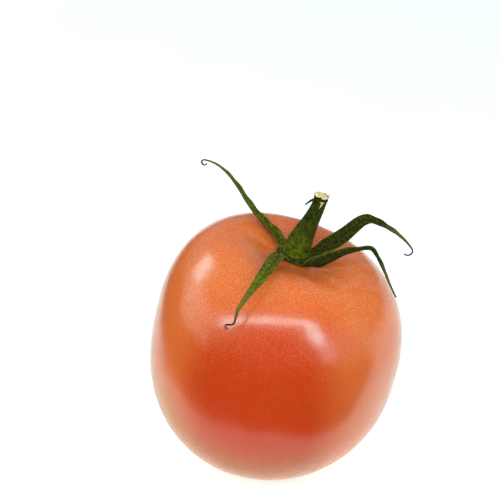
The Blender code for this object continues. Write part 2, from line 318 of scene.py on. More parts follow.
LAMPS = (
    Lamp("front_strip", azimuth=-104, elevation=46.5, width=1.25, height=0.075, turn=14,
         radiance=12.0, red=0.70),
    Lamp("front_strip_end", azimuth=-153, elevation=24, width=0.20, height=0.09, turn=27,
         radiance=5.5, red=0.60),
    Lamp("front_strip_fade", azimuth=-104, elevation=55, width=1.0, height=0.12, turn=14,
         radiance=0.5),
    Lamp("front_right", azimuth=-48, elevation=27, width=0.12, height=0.24, radiance=12.5, red=0.50),
    Lamp("front_right_fade", azimuth=-43, elevation=7, width=0.17, height=0.22, radiance=2.7),
    Lamp("left_streak", azimuth=144, elevation=26, width=0.24, height=0.10, turn=-45,
         radiance=6.4, red=0.50),
    Lamp("left_glow", azimuth=150, elevation=24, width=0.45, height=0.26, turn=-45, radiance=0.9),
    Lamp("left_fill", azimuth=176, elevation=8, width=0.46, height=0.30, radiance=1.3, red=0.70),
    Lamp("right_fill", azimuth=-20, elevation=8, width=0.46, height=0.42, radiance=0.6, red=0.60),
    Lamp("right_glow", azimuth=38, elevation=38, width=0.36, height=0.20, radiance=0.4),
)


def bump_between(value, middle, reach):
    """1 at the middle, falling smoothly to 0 on both sides."""
    return math.exp(-((value - middle) / reach) ** 2)


def ease(value, start, end):
    """0 up to the start, 1 from the end on, smooth between them."""
    step = min(max((value - start) / (end - start), 0.0), 1.0)
    return step * step * (3 - 2 * step)


def angle_apart(first, second):
    """Smallest angle between two azimuths, in degrees."""
    return abs((first - second + 180) % 360 - 180)


def fruit_distance(polar, azimuth):
    """Distance of the skin from the fruit's centre, before the cavity is sunk. Angles in radians."""
    up = math.cos(polar)
    out = math.sin(polar)
    oval, oval_azimuth = OVAL
    lobes, lobes_azimuth = THREE_LOBES
    radius = FRUIT_RADIUS * (1 + oval * math.cos(2 * (azimuth - math.radians(oval_azimuth)))
                             + lobes * math.cos(3 * (azimuth - math.radians(lobes_azimuth))))
    if up > 0:
        rise, rise_azimuth = HIGH_SHOULDER
        height = SHOULDER_HEIGHT * (1 + rise * math.cos(azimuth - math.radians(rise_azimuth)) * out ** 2)
        power = SHOULDER_POWER
    else:
        drop, drop_azimuth = LOW_BASE
        height = BASE_DEPTH * (1 + drop * math.cos(azimuth - math.radians(drop_azimuth)) * out ** 2)
        power = BASE_POWER
    return ((out / radius) ** power + (abs(up) / height) ** power) ** (-1 / power)


def cavity_sink(radius, azimuth):
    """How far the cavity and its folds lower the skin at a distance from the axis."""
    sink = CAVITY_DEPTH * bump_between(max(radius, SCAR_RADIUS), SCAR_RADIUS, CAVITY_WIDTH)
    for fold in FOLDS:
        across = angle_apart(math.degrees(azimuth), fold.azimuth)
        along = bump_between(radius, FOLD_MIDDLE, FOLD_REACH) * (1 - bump_between(radius, 0, SCAR_RADIUS))
        sink += fold.depth * bump_between(across, 0, fold.half_width) * along
    return sink


def skin_point(polar, azimuth):
    """A point of the skin in the fruit's own frame. Angles in radians, the stem is at polar 0."""
    distance = fruit_distance(polar, azimuth)
    radius = distance * math.sin(polar)
    height = distance * math.cos(polar)
    if height > 0:
        height -= cavity_sink(radius, azimuth)
    else:
        height += BLOSSOM_SCAR_DEPTH * bump_between(radius, 0, BLOSSOM_SCAR_RADIUS)
    return Vector((radius * math.cos(azimuth), radius * math.sin(azimuth), height))


def lift_off_skin(point, clearance):
    """The point itself, or where it comes to when it is moved out to clear the skin."""
    radius = math.hypot(point.x, point.y)
    azimuth = math.atan2(point.y, point.x)
    sink = cavity_sink(radius, azimuth)
    unsunk = point + Vector((0, 0, sink))
    polar = math.atan2(radius, unsunk.z)
    wanted = fruit_distance(polar, azimuth) + clearance
    if unsunk.length >= wanted:
        return point
    unsunk *= wanted / unsunk.length
    return unsunk - Vector((0, 0, sink))


def cavity_floor():
    """Height of the cavity's floor in the fruit's frame."""
    return SHOULDER_HEIGHT - CAVITY_DEPTH


def plate_bottom():
    """Height of the calyx plate's underside in the fruit's frame."""
    return cavity_floor() + CLEAR_GAP


def stem_foot():
    """Height of the stem's foot in the fruit's frame."""
    return plate_bottom() + PLATE_THICKNESS + CLEAR_GAP


def station_value(stations, share):
    """A smooth value through evenly spaced stations, at a share of the way from the first to the last."""
    last = len(stations) - 1
    place = min(max(share, 0.0), 1.0) * last
    index = min(int(place), last - 1)
    step = place - index
    before = stations[max(index - 1, 0)]
    here = stations[index]
    ahead = stations[index + 1]
    beyond = stations[min(index + 2, last)]
    linear = ahead - before
    square = 2 * before - 5 * here + 4 * ahead - beyond
    cube = 3 * (here - ahead) + beyond - before
    return here + 0.5 * step * (linear + step * (square + step * cube))


def sepal_frame(sepal, share):
    """Turns +X along the blade, +Y to its left edge and +Z out of its upper face."""
    curl = min(max((share - sepal.curl_at) / (1 - sepal.curl_at), 0.0), 1.0)
    kinked = 1 / (1 + math.exp(-(share - sepal.kink_at) / sepal.kink_length))
    pitch = station_value(sepal.pitch, share) * ease(share, *ROOT_LEVEL)
    pitch += sepal.kink * kinked + sepal.curl_pitch * curl + station_value(sepal.hook, curl)
    heading = sepal.azimuth + station_value(sepal.turn, share) + sepal.curl_turn * curl
    roll = station_value(sepal.roll, share) * ease(share, *ROOT_FLAT)
    return (Matrix.Rotation(math.radians(heading), 3, "Z")
            @ Matrix.Rotation(math.radians(-pitch), 3, "Y")
            @ Matrix.Rotation(math.radians(roll), 3, "X"))


def sepal_line(sepal, steps):
    """Points and frames along the blade's midrib, in the fruit's frame."""
    azimuth = math.radians(sepal.azimuth)
    point = Vector((SEPAL_ROOT_RADIUS * math.cos(azimuth), SEPAL_ROOT_RADIUS * math.sin(azimuth),
                    cavity_floor() + SEPAL_ROOT_HEIGHT))
    stride = sepal.length / steps
    substeps = 2
    line = [(point.copy(), sepal_frame(sepal, 0.0))]
    for step in range(steps):
        for substep in range(substeps):
            share = (step + (substep + 0.5) / substeps) / steps
            point += sepal_frame(sepal, share) @ Vector((stride / substeps, 0, 0))
        line.append((point.copy(), sepal_frame(sepal, (step + 1) / steps)))
    return line


FRUIT_TO_WORLD = Matrix.Translation(FRUIT_CENTRE) @ Matrix.Rotation(math.radians(FRUIT_LEAN), 4, "Y")


def rest_on_flat(height):
    """World height of the skin after the flat spot is pressed in at 0."""
    if height <= -FLAT_BLEND:
        return 0.0
    if height < FLAT_BLEND:
        return (height + FLAT_BLEND) ** 2 / (4 * FLAT_BLEND)
    return height


def make_object(name, points, faces, attributes=None):
    """A smooth mesh object from points in millimetres in the world, with named values on its points."""
    mesh = bpy.data.meshes.new(name)
    mesh.from_pydata([tuple(point * MM) for point in points], [], faces)
    mesh.validate()
    mesh.shade_smooth()
    for key, values in (attributes or {}).items():
        layer = mesh.attributes.new(key, "FLOAT", "POINT")
        layer.data.foreach_set("value", values)
    made = bpy.data.objects.new(name, mesh)
    bpy.context.scene.collection.objects.link(made)
    return made


def ring_faces(rings, sides):
    """Quads between rings of points that are numbered one after the other."""
    faces = []
    for ring in range(rings - 1):
        for side in range(sides):
            after = (side + 1) % sides
            faces.append((ring * sides + side, ring * sides + after,
                          (ring + 1) * sides + after, (ring + 1) * sides + side))
    return faces


def tube_faces(rings, sides, turned=False):
    """Quads between the rings and a face over each end. Turned faces look the other way."""
    faces = ring_faces(rings, sides)
    faces.append(tuple(reversed(range(sides))))
    faces.append(tuple(range((rings - 1) * sides, rings * sides)))
    if turned:
        faces = [tuple(reversed(face)) for face in faces]
    return faces


def make_skin():
    """The whole fruit's skin, with its small unevenness."""
    points = []
    for ring in range(1, SKIN_RINGS):
        polar = math.pi * (1 - ring / SKIN_RINGS)
        for side in range(SKIN_SEGMENTS):
            azimuth = 2 * math.pi * side / SKIN_SEGMENTS
            local = skin_point(polar, azimuth)
            lump = SKIN_LUMP * noise.noise(local / SKIN_LUMP_SIZE)
            placed = FRUIT_TO_WORLD @ (local + local.normalized() * lump)
            placed.z = rest_on_flat(placed.z)
            points.append(placed)
    faces = ring_faces(SKIN_RINGS - 1, SKIN_SEGMENTS)
    last_ring = (SKIN_RINGS - 2) * SKIN_SEGMENTS
    for pole, first, turned in ((math.pi, 0, True), (0.0, last_ring, False)):
        placed = FRUIT_TO_WORLD @ skin_point(pole, 0.0)
        placed.z = rest_on_flat(placed.z)
        points.append(placed)
        tip = len(points) - 1
        for side in range(SKIN_SEGMENTS):
            here = first + side
            after = first + (side + 1) % SKIN_SEGMENTS
            faces.append((tip, after, here) if turned else (tip, here, after))
    return make_object("fruit_skin", points, faces)


def make_sepal(sepal, phase):
    """One sepal: a lens-shaped section with a midrib and rolled, wavy edges, drawn along its line."""
    line = sepal_line(sepal, SEPAL_STEPS)
    points = []
    along = []
    across = []
    under = []
    tone = []
    upper_row = [(place, 1) for place in SEPAL_ACROSS]
    under_row = [(place, -1) for place in reversed(SEPAL_ACROSS[1:-1])]
    section = upper_row + under_row
    for step, (middle, turned) in enumerate(line):
        share = step / SEPAL_STEPS
        half_width = station_value(sepal.width, share) / 2
        half_width *= 1 - TIP_THINNING * ease(share, TIP_START, 1.0)
        half_width *= 1 + WIDTH_CHANGE * noise.noise(Vector((share * WIDTH_CHANGE_COUNT, phase, 0)))
        half_thickness = station_value(SEPAL_THICKNESS, share) / 2
        grown = ease(share, *ROOT_FLAT)
        wave = EDGE_WAVE * grown * (1 - ease(share, *EDGE_WAVE_END))
        wave_turn = 2 * math.pi * share * sepal.length / EDGE_WAVE_LENGTH + phase
        midrib = min(half_width / MIDRIB_FULL_AT, 1.0)
        for place, side in section:
            edge = abs(place)
            rise = FOLD_RISE * grown * half_width * edge ** FOLD_POWER
            rise += ROLLED_EDGE * grown * half_width * ease(edge, ROLL_START, 1.0)
            shift = EDGE_WAVE_SHIFT if place > 0 else 0.0
            rise += wave * edge ** 2 * math.sin(wave_turn + shift)
            point = middle + turned @ Vector((0, place * half_width, rise))
            if share > ROOT_LEVEL[0]:
                point = lift_off_skin(point, SEPAL_CLEARANCE)
            offset = side * half_thickness * (1 - edge ** LENS_POWER) ** 0.5
            if side > 0:
                offset -= MIDRIB_GROOVE * midrib * bump_between(place, 0, MIDRIB_GROOVE_WIDTH)
            else:
                offset -= MIDRIB_RIDGE * midrib * bump_between(place, 0, MIDRIB_RIDGE_WIDTH)
            points.append(FRUIT_TO_WORLD @ (point + turned @ Vector((0, 0, offset))))
            along.append(share)
            across.append(place)
            under.append(0.0 if side > 0 else 1.0)
            tone.append(sepal.tone)
    faces = tube_faces(len(line), len(section), turned=True)
    return make_object(sepal.name, points, faces,
                       {"along": along, "across": across, "under": under, "tone": tone})


def plate_rim(azimuth):
    """Radius of the calyx plate, which runs out under each sepal. The azimuth is in degrees."""
    root = max(bump_between(angle_apart(azimuth, sepal.azimuth), 0, ROOT_SPREAD) for sepal in SEPALS)
    web = bump_between(angle_apart(azimuth, WEB_AZIMUTH), 0, WEB_SPREAD)
    return PLATE_RADIUS + max(ROOT_REACH * root, WEB_REACH * web)


def make_plate():
    """The calyx plate: a low, uneven mound."""
    top = plate_bottom() + PLATE_THICKNESS
    points = []
    for ring in range(PLATE_RINGS + 1):
        share = ring / PLATE_RINGS
        for side in range(PLATE_SIDES):
            azimuth = 2 * math.pi * side / PLATE_SIDES
            rim = plate_rim(math.degrees(azimuth))
            radius = rim * (0.05 + 0.95 * share)
            x = radius * math.cos(azimuth)
            y = radius * math.sin(azimuth)
            height = top - (PLATE_THICKNESS - PLATE_EDGE_THICKNESS) * ease(radius, PLATE_LEVEL_RADIUS, rim)
            height += PLATE_LUMP * noise.noise(Vector((x, y, 3)) / PLATE_LUMP_SIZE)
            points.append(FRUIT_TO_WORLD @ Vector((x, y, height)))
    inner = PLATE_RADIUS - PLATE_UNDERCUT
    for side in range(PLATE_SIDES):
        azimuth = 2 * math.pi * side / PLATE_SIDES
        foot = Vector((inner * math.cos(azimuth), inner * math.sin(azimuth), plate_bottom()))
        points.append(FRUIT_TO_WORLD @ foot)
    return make_object("calyx_plate", points, tube_faces(PLATE_RINGS + 2, PLATE_SIDES, turned=True))


def stem_section(share):
    """Middle and radius of the stem at a share of the way from its foot to the break."""
    x, y, z, radius = (station_value([row[i] for row in STEM_POINTS], share) for i in range(4))
    return Vector((x, y, z + stem_foot())), radius


def stem_surface(share, azimuth):
    """A point on the stem's surface with its shallow ridges. The azimuth is in radians."""
    middle, radius = stem_section(share)
    ridges = WIDE_RIDGE * math.cos(5 * azimuth + 0.8) + FINE_RIDGE * math.cos(11 * azimuth + 2.0)
    ridges *= 0.4 + 0.6 * ease(share, 0.0, 0.4)
    flare = STEM_FLARE * (1 - ease(share, 0.0, STEM_FLARE_END))
    lump = STEM_LUMP * noise.noise(Vector((math.cos(azimuth) * 2, math.sin(azimuth) * 2, share * 9)))
    out = radius * (1 + ridges) + flare + lump
    return middle + Vector((out * math.cos(azimuth), out * math.sin(azimuth), 0))


def torn_rim(azimuth):
    """How far the stem's skin stands up or is torn down at the break."""
    front = bump_between(angle_apart(math.degrees(azimuth), RIM_FRONT_AZIMUTH), 0, 50)
    notch = bump_between(angle_apart(math.degrees(azimuth), RIM_NOTCH_AZIMUTH), 0, 9)
    return (0.26 * math.sin(3 * azimuth + 0.4) + 0.18 * math.sin(7 * azimuth + 1.9)
            + 0.16 * math.sin(13 * azimuth) + RIM_FRONT_RISE * front - RIM_NOTCH * notch)


def make_stem():
    """The stalk, with shallow ridges along it and a ragged rim at the break."""
    points = []
    along = []
    for step in range(STEM_STEPS + 1):
        share = step / STEM_STEPS
        for side in range(STEM_SIDES):
            azimuth = 2 * math.pi * side / STEM_SIDES
            point = stem_surface(share, azimuth)
            point.z += torn_rim(azimuth) * ease(share, RIM_START, 1.0)
            points.append(FRUIT_TO_WORLD @ point)
            along.append(share)
    middle, _ = stem_section(1.0)
    for side in range(STEM_SIDES):
        azimuth = 2 * math.pi * side / STEM_SIDES
        inner = stem_surface(1.0, azimuth) - middle
        points.append(FRUIT_TO_WORLD @ (middle + inner * RIM_INNER + Vector((0, 0, -RIM_SUNK))))
        along.append(1.0)
    return make_object("stem_stalk", points, tube_faces(STEM_STEPS + 2, STEM_SIDES), {"along": along})


def make_torn_end():
    """The pale tissue at the break: a low button with a ragged rim and a fibrous top."""
    base, _ = stem_section(1.0)
    points = []
    rim = []
    for ring in range(TORN_RINGS + 1):
        share = ring / TORN_RINGS
        for side in range(TORN_SIDES):
            azimuth = 2 * math.pi * side / TORN_SIDES
            degrees = math.degrees(azimuth)
            direction = Vector((math.cos(azimuth), math.sin(azimuth), 0))
            ragged = 1 + 0.07 * math.sin(3 * azimuth + 0.6) + 0.05 * math.sin(7 * azimuth)
            ragged += 0.05 * noise.noise(direction * 4)
            ragged -= 0.17 * bump_between(angle_apart(degrees, RIM_FRONT_AZIMUTH), 0, 55)
            if share < TORN_SHOULDER:
                out = 0.80 + 0.20 * ease(share, 0.0, TORN_SHOULDER)
                height = -TORN_SUNK + TORN_HEIGHT * 0.75 * share / TORN_SHOULDER
            else:
                out = 1 - (share - TORN_SHOULDER) / (1 - TORN_SHOULDER) * 0.98
                height = -TORN_SUNK + TORN_HEIGHT * (0.75 + 0.20 * ease(share, TORN_SHOULDER, 0.6))
            spread = direction * out
            fibres = noise.noise(spread * 3.1) + 0.6 * noise.noise(spread * 7.3 + Vector((5, 0, 0)))
            height += TORN_HEIGHT * TORN_FIBRES * fibres * ease(share, 0.2, 0.5)
            point = base + Vector((0, 0, CLEAR_GAP + height))
            point += direction * TORN_RADIUS * out * ragged
            points.append(FRUIT_TO_WORLD @ point)
            left = bump_between(angle_apart(degrees, TORN_LEFT_AZIMUTH), 0, 50)
            rim.append(1 - ease(share, 0.16, 0.30 + 0.35 * left))
    return make_object("torn_end", points, tube_faces(TORN_RINGS + 1, TORN_SIDES), {"rim": rim})


def make_tongue():
    """The thin pale strip of tissue that runs down the front of the stem from the break."""
    points = []
    for step in range(TONGUE_STEPS + 1):
        down = step / TONGUE_STEPS
        share = 1.0 - TONGUE_LENGTH * down
        middle, radius = stem_section(share)
        half_width = station_value(TONGUE_WIDTH, down) / 2
        sway = TONGUE_SWAY * math.sin(5 * down)
        for number, place in enumerate(TONGUE_SECTION):
            surface = stem_surface(share, math.radians(TONGUE_AZIMUTH) + (place * half_width + sway) / radius)
            out = (surface - middle).normalized()
            lift = 0.16 * (1 - place ** 2) + 0.04 if number < TONGUE_OUTER else -0.15
            lift += 0.25 * (1 - ease(down, 0.0, 0.35))
            points.append(FRUIT_TO_WORLD @ (surface + out * lift))
    faces = tube_faces(TONGUE_STEPS + 1, len(TONGUE_SECTION), turned=True)
    return make_object("torn_tongue", points, faces, {"rim": [0.0] * len(points)})


def make_flap():
    """The small dark sliver of skin that hangs off the left of the break."""
    points = []
    root = stem_surface(FLAP_ROOT, math.radians(FLAP_ROOT_AZIMUTH))
    out = Vector((math.cos(math.radians(FLAP_AZIMUTH)), math.sin(math.radians(FLAP_AZIMUTH)), 0))
    for step in range(FLAP_STEPS + 1):
        share = step / FLAP_STEPS
        middle = root + out * (FLAP_LENGTH * share - 0.2)
        middle += Vector((0, 0, 0.4 * share - FLAP_DROP * share ** 1.5))
        half_width = FLAP_HALF_WIDTH * (1 - share) ** 0.4 + 0.12
        for side in range(FLAP_SIDES):
            turn = 2 * math.pi * side / FLAP_SIDES
            across = Vector((-out.y, out.x, 0)) * math.cos(turn) * half_width
            up = Vector((0, 0, FLAP_HALF_THICKNESS * math.sin(turn)))
            points.append(FRUIT_TO_WORLD @ (middle + across + up))
    faces = tube_faces(FLAP_STEPS + 1, FLAP_SIDES)
    return make_object("stem_flap", points, faces, {"along": [FLAP_ROOT] * len(points)})


def make_hairs(name, sources, count, seed):
    """Short tapered hairs that stand on the given meshes, on all but their end faces."""
    rng = random.Random(seed)
    polygons = [(source.data, polygon) for source in sources for polygon in source.data.polygons
                if len(polygon.vertices) == 4]
    chosen = rng.choices(polygons, weights=[polygon.area for _, polygon in polygons], k=count)
    points = []
    faces = []
    for mesh, polygon in chosen:
        corners = [mesh.vertices[index].co for index in polygon.vertices]
        first, second = rng.random(), rng.random()
        foot = (corners[0].lerp(corners[1], first)).lerp(corners[3].lerp(corners[2], first), second) / MM
        out = Vector(polygon.normal)
        tilt = Vector((rng.gauss(0, HAIR_TILT), rng.gauss(0, HAIR_TILT), rng.gauss(0, HAIR_TILT)))
        stand = (out + tilt).normalized()
        side = stand.orthogonal().normalized()
        other = stand.cross(side)
        radius = rng.uniform(*HAIR_RADIUS)
        start = len(points)
        for corner in range(3):
            angle = 2 * math.pi * corner / 3
            around = (side * math.cos(angle) + other * math.sin(angle)) * radius
            points.append(foot - out * HAIR_ROOT + around)
        points.append(foot + stand * rng.uniform(*HAIR_LENGTH))
        tip = start + 3
        faces += [(start, start + 1, tip), (start + 1, start + 2, tip), (start + 2, start, tip)]
    return make_object(name, points, faces)


def linear(red, green, blue):
    """A shader colour from one written as it shows on screen, 0 to 255."""
    shown = (red / 255, green / 255, blue / 255)
    return tuple(c / 12.92 if c <= 0.04045 else ((c + 0.055) / 1.055) ** 2.4 for c in shown) + (1.0,)


class Look:
    """A material whose nodes are added one by one."""

    def __init__(self, name, **constants):
        self.material = bpy.data.materials.new(name)
        self.material.use_nodes = True
        self.tree = self.material.node_tree
        self.shader = self.tree.nodes["Principled BSDF"]
        for key, value in constants.items():
            self.shader.inputs[key.replace("_", " ")].default_value = value
        self.place = self.node("ShaderNodeTexCoord").outputs["Object"]

    def plug(self, socket, value):
        if isinstance(value, bpy.types.NodeSocket):
            self.tree.links.new(value, socket)
        else:
            socket.default_value = value

    def node(self, kind, inputs=None, **settings):
        made = self.tree.nodes.new(kind)
        for key, value in settings.items():
            setattr(made, key, value)
        for key, value in (inputs or {}).items():
            self.plug(made.inputs[key], value)
        return made

    def noise(self, size, detail=3.0, roughness=0.5, place=None):
        """Smooth noise round 0.5, of a grain size in millimetres."""
        made = self.node("ShaderNodeTexNoise", {"Vector": place or self.place, "Scale": 1 / (size * MM),
                                                "Detail": detail, "Roughness": roughness})
        return made.outputs[0]

    def cells(self, size):
        """Distance from the nearest of many scattered points, in cell sizes, and a random value for it."""
        made = self.node("ShaderNodeTexVoronoi", {"Vector": self.place, "Scale": 1 / (size * MM)})
        return made.outputs["Distance"], made.outputs["Color"]

    def ramp(self, value, low, high, bottom=0.0, top=1.0):
        """A smooth step from the bottom value at low to the top value at high."""
        made = self.node("ShaderNodeMapRange", {"Value": value, "From Min": low, "From Max": high,
                                                "To Min": bottom, "To Max": top},
                         interpolation_type="SMOOTHSTEP")
        return made.outputs[0]

    def math(self, operation, first, second=0.0):
        made = self.node("ShaderNodeMath", operation=operation)
        self.plug(made.inputs[0], first)
        self.plug(made.inputs[1], second)
        return made.outputs[0]

    def mix(self, factor, first, second, blend="MIX"):
        made = self.node("ShaderNodeMix", data_type="RGBA", blend_type=blend)
        self.plug(made.inputs[0], factor)
        self.plug(made.inputs[6], first)
        self.plug(made.inputs[7], second)
        return made.outputs[2]

    def shade(self, colour, share):
        """The colour times a grey value."""
        grey = self.node("ShaderNodeCombineColor", {0: share, 1: share, 2: share})
        return self.mix(1.0, colour, grey.outputs[0], "MULTIPLY")

    def vector(self, operation, first, second=(0.0, 0.0, 0.0)):
        made = self.node("ShaderNodeVectorMath", {0: first, 1: second}, operation=operation)
        return made.outputs["Value" if operation in ("DOT_PRODUCT", "DISTANCE") else "Vector"]

    def xyz(self):
        made = self.node("ShaderNodeSeparateXYZ", {0: self.place})
        return made.outputs[0], made.outputs[1], made.outputs[2]

    def value_on_points(self, name):
        return self.node("ShaderNodeAttribute", attribute_name=name).outputs["Fac"]

    def bump(self, height, depth, under=None):
        """Fine relief of a depth in millimetres. Returns the normal."""
        made = self.node("ShaderNodeBump", {"Height": height, "Distance": depth * MM, "Strength": 1.0})
        if under is not None:
            self.plug(made.inputs["Normal"], under)
        return made.outputs[0]

    def finish(self, **sockets):
        for key, value in sockets.items():
            self.plug(self.shader.inputs[key.replace("_", " ")], value)
        return self.material


def skin_look():
    """Thin waxy skin: orange shoulders, red belly, paler base, golden specks, and a lighter orange right
    flank that is partly painted light.
    """
    look = Look("tomato_skin", Specular_IOR_Level=0.50, Subsurface_Weight=0.30,
                Subsurface_Scale=0.004, Coat_Weight=0.0)
    look.shader.inputs["Subsurface Radius"].default_value = (1.0, 0.22, 0.08)
    x, _, z = look.xyz()
    drift = look.math("MULTIPLY", look.math("SUBTRACT", look.noise(16, 2.0), 0.5), 0.08)
    facing = look.vector("NORMALIZE", look.vector("SUBTRACT", look.place, RIPE_MIDDLE))
    ripeness = look.math("ADD", look.vector("DOT_PRODUCT", facing, RIPE_SIDE), drift)
    red = linear(218, 61, 15)
    orange = linear(238, 103, 38)
    shoulder = linear(238, 108, 50)
    right = linear(240, 104, 50)
    patch = linear(218, 124, 48)
    speck = linear(252, 196, 134)

    beside = look.ramp(ripeness, *BELLY_TO_SIDE)
    base = look.mix(beside, linear(196, 86, 10), linear(220, 112, 32))
    colour = look.mix(look.ramp(ripeness, *RED_TO_ORANGE), red, orange)
    high = look.math("MULTIPLY", look.ramp(z, *SHOULDER_LEVEL), look.ramp(x, *SHOULDER_PLACE))
    colour = look.mix(high, colour, shoulder)
    low = look.math("ADD", z, look.math("MULTIPLY", beside, -BASE_RISE_AT_SIDES))
    colour = look.mix(look.ramp(low, *BASE_LEVEL), colour, base)
    # Partly the skin's own orange and partly painted light: the right flank is mixed toward a lighter orange
    # that stands in for light from the front right
    flank = look.math("MULTIPLY", look.ramp(x, *FLANK_PLACE), look.ramp(x, *FLANK_END, 0.2, 1.0))
    flank = look.math("MULTIPLY", flank, look.ramp(z, *FLANK_LEVEL))
    colour = look.mix(look.math("MULTIPLY", flank, 0.8), colour, right)
    patches = look.math("MULTIPLY", look.ramp(look.noise(7.0, 4.0, 0.6), 0.40, 0.72),
                        look.ramp(x, *PATCH_PLACE, 0.03, 0.09))
    colour = look.mix(patches, colour, patch)

    distance, chance = look.cells(SPECK_SIZE)
    specks = look.math("MULTIPLY", look.ramp(distance, 0.55, 0.10), look.ramp(chance, 0.0, 0.8))
    strength = look.math("MULTIPLY", look.ramp(z, *SPECK_LEVEL, 0.10, 0.42),
                         look.ramp(ripeness, *RED_TO_ORANGE, 0.45, 1.0))
    colour = look.mix(look.math("MULTIPLY", specks, strength), colour, speck)
    mottle = look.math("MULTIPLY", look.ramp(look.noise(SPECK_SIZE, 2.0), 0.3, 0.7, -1.0, 1.0),
                       look.ramp(z, *MOTTLE_LEVEL, 0.07, 0.17))
    colour = look.shade(colour, look.math("ADD", mottle, 0.95))

    roughness = look.ramp(look.noise(3.0, 3.0), 0.3, 0.7, 0.18, 0.23)
    roughness = look.math("ADD", roughness, look.ramp(z, *ROUGHER_LEVEL, 0.0, 0.06))
    relief = look.ramp(z, *RELIEF_LEVEL)
    fine = look.bump(look.math("MULTIPLY", distance, relief), 0.010)
    normal = look.bump(look.math("MULTIPLY", look.noise(1.8, 3.0), relief), 0.016, fine)
    return look.finish(Base_Color=colour, Roughness=roughness, Normal=normal)


def leaf_look():
    """Matte sepals: mottled green, painted shade as a dark line along the middle groove, light edges that are
    partly painted highlight, pale flecks that are partly painted glints of hairs, veins, brown thread tips.
    """
    look = Look("sepal_green", Specular_IOR_Level=0.05)
    along = look.value_on_points("along")
    across = look.value_on_points("across")
    under = look.value_on_points("under")
    tone = look.value_on_points("tone")
    edge = look.math("ABSOLUTE", across)
    upper = look.mix(look.ramp(look.noise(1.0, 4.0, 0.7), 0.38, 0.62),
                     linear(58, 58, 5), linear(120, 112, 24))
    lower = look.mix(look.ramp(look.noise(0.9, 4.0, 0.6), 0.35, 0.68),
                     linear(52, 54, 6), linear(92, 88, 22))
    colour = look.mix(under, upper, lower)
    # Painted shade: a dark line along the middle of both faces, for the shade in the midrib's groove
    colour = look.mix(look.ramp(edge, 0.12, 0.03, 0.0, 0.55), colour, linear(38, 42, 4))
    # Partly the sepals' own pale flecks and partly painted glints of their hairs
    flecks = look.ramp(look.noise(0.45, 2.0, 0.7), 0.58, 0.72)
    colour = look.mix(look.math("MULTIPLY", flecks, 0.55), colour, linear(156, 158, 92))
    colour = look.shade(colour, tone)
    # Partly the sepals' own paler margins and partly a painted highlight: light green near the edges of each
    # blade
    rim = look.math("MULTIPLY", look.ramp(edge, 0.80, 0.96), look.ramp(along, 0.90, 0.70))
    colour = look.mix(look.math("MULTIPLY", rim, 0.32), colour, linear(112, 122, 40))
    colour = look.mix(look.ramp(along, 0.58, 0.82, 0.0, 0.8), colour, linear(126, 96, 42))
    colour = look.mix(look.ramp(along, 0.84, 0.94, 0.0, 0.9), colour, linear(48, 34, 14))
    slant = look.math("ADD", look.math("MULTIPLY", along, 90.0), look.math("MULTIPLY", edge, -7.0))
    veins = look.math("MULTIPLY", look.math("SINE", slant), 0.3)
    normal = look.bump(look.math("ADD", veins, look.noise(0.5, 3.0, 0.6)), 0.12)
    return look.finish(Base_Color=colour, Roughness=0.62, Normal=normal)


def stalk_look():
    """Matte stalk with lengthwise streaks, a yellowish green lower left that is partly painted light, pale
    flecks and a brown rim at the break.
    """
    look = Look("stalk_green", Specular_IOR_Level=0.05)
    along = look.value_on_points("along")
    x, _, _ = look.xyz()
    stretched = look.node("ShaderNodeMapping", {"Vector": look.place, "Scale": (1.0, 1.0, 0.22)}).outputs[0]
    streaks = look.noise(0.9, 4.0, 0.6, stretched)
    colour = look.mix(look.ramp(streaks, 0.35, 0.68), linear(30, 34, 2), linear(62, 62, 6))
    # Partly the stem's own yellowing and partly painted light: yellowish green toward the foot and toward the
    # lit left side
    yellow_and_lit_side = look.math("MULTIPLY", look.ramp(along, 0.60, 0.10),
                       look.ramp(look.noise(1.1, 3.0), 0.32, 0.62))
    yellow_and_lit_side = look.math("MULTIPLY", yellow_and_lit_side, look.ramp(x, *STEM_YELLOW_AND_LIT_SIDE, 0.15, 1.0))
    colour = look.mix(look.math("MULTIPLY", yellow_and_lit_side, 0.6), colour, linear(118, 118, 12))
    # Partly the stalk's own pale flecks and partly painted glints of its hairs
    flecks = look.ramp(look.noise(0.42, 2.0, 0.7), 0.62, 0.74)
    colour = look.mix(look.math("MULTIPLY", flecks, 0.40), colour, linear(140, 142, 84))
    rim = look.ramp(along, 0.93, 0.99)
    colour = look.mix(look.math("MULTIPLY", rim, 0.8), colour, linear(62, 36, 16))
    height = look.math("ADD", streaks, look.math("MULTIPLY", look.noise(0.45, 3.0), 0.6))
    normal = look.bump(height, 0.14)
    return look.finish(Base_Color=colour, Roughness=0.64, Normal=normal)


def plate_look():
    """The calyx plate between the sepals, like the stalk's foot."""
    look = Look("plate_green", Specular_IOR_Level=0.10)
    colour = look.mix(look.ramp(look.noise(1.1, 4.0, 0.6), 0.35, 0.68),
                      linear(34, 42, 4), linear(70, 74, 14))
    # Partly the plate's own pale flecks and partly painted glints of its hairs
    flecks = look.ramp(look.noise(0.42, 2.0, 0.7), 0.62, 0.74)
    colour = look.mix(look.math("MULTIPLY", flecks, 0.30), colour, linear(136, 144, 84))
    normal = look.bump(look.noise(0.5, 3.0, 0.6), 0.14)
    return look.finish(Base_Color=colour, Roughness=0.64, Normal=normal)


